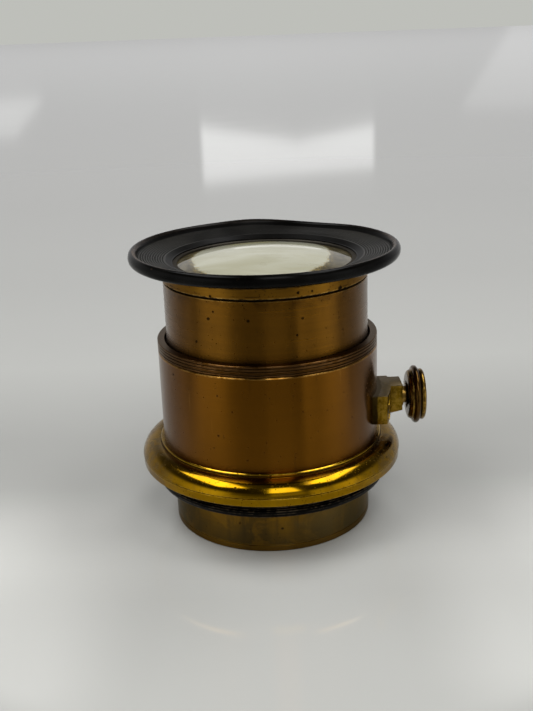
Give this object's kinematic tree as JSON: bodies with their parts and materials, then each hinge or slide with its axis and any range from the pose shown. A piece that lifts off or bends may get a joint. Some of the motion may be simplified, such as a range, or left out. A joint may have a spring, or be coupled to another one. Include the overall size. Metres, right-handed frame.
{
  "type": "portrait lens",
  "caption": "Vintage brass portrait lens standing on its rear cell: flared black hood, focusing tube moved by a rack and pinion with a side knob, and a beaded mounting flange.",
  "frame": {"origin": "centre of the rear face of the rear cell, on the optical axis, at the mouth of the rear recess", "axes": "+Z along the optical axis from the rear cell to the hood; +X radially out through the pinion bracket and focusing knob; +Y completes the right-handed frame"},
  "size_m": [0.0847, 0.0772, 0.0822],
  "materials": {
    "aged_brass": "dull patinated",
    "blackened_brass": "matte",
    "optical_glass": "polished",
    "black_lacquer": "semi-gloss, worn edges",
    "polished_brass": "polished, light tarnish",
    "lacquered_brass": "amber lacquer over turned brass",
    "felt": "matte",
    "blued_steel": "dark",
    "bracket_brass": "filed, unlacquered",
    "screw_brass": "satin",
    "knob_brass": "dark turned brass, handled",
    "tube_brass": "amber lacquer, circular brushing, specks",
    "cell_brass": "worn lacquer",
    "balsam": "yellowed, part separated",
    "hood_black": "semi-gloss black, worn rim"
  },
  "bodies": {
    "barrel": {"outer_barrel": "lacquered_brass", "barrel_collar": "lacquered_brass", "light_seal": "felt", "stop_screw": "blued_steel", "mount_flange": "polished_brass", "mount_thread_ring": "black_lacquer", "lock_ring": "black_lacquer", "rear_cell": "aged_brass", "rear_retaining_ring": "blackened_brass", "rear_crown_glass": "optical_glass", "rear_spacer_ring": "blackened_brass", "rear_flint_glass": "optical_glass", "pinion_bracket": "bracket_brass", "bracket_screws": "screw_brass", "pinion_bush": "screw_brass", "thrust_washer": "screw_brass"},
    "focus_tube": {"focusing_tube": "tube_brass", "guide_band": "screw_brass", "focus_rack": "screw_brass", "rack_screws": "blued_steel", "glare_stop": "blackened_brass", "front_cell": "cell_brass", "front_retaining_ring": "blackened_brass", "front_flint_glass": "optical_glass", "balsam_layer": "balsam", "front_crown_glass": "optical_glass", "front_hood": "hood_black"},
    "knob": {"focus_pinion": "screw_brass", "focus_knob": "knob_brass", "knob_screw": "screw_brass"}
  },
  "joints": [
    {"name": "focus_slide", "type": "slide", "parent": "barrel", "child": "focus_tube", "axis": [0, 0, 1], "range_m": [-0.008, 0.0055]},
    {"name": "knob_turn", "type": "hinge", "parent": "barrel", "child": "knob", "pos_m": [0.0434, 0, 0.0348], "axis": [1, 0, 0], "range_deg": [-153.2, 105.4]}
  ],
  "couplings": [
    {"joint": "knob_turn", "follows": "focus_slide", "rad_per_m": 333.33}
  ]
}
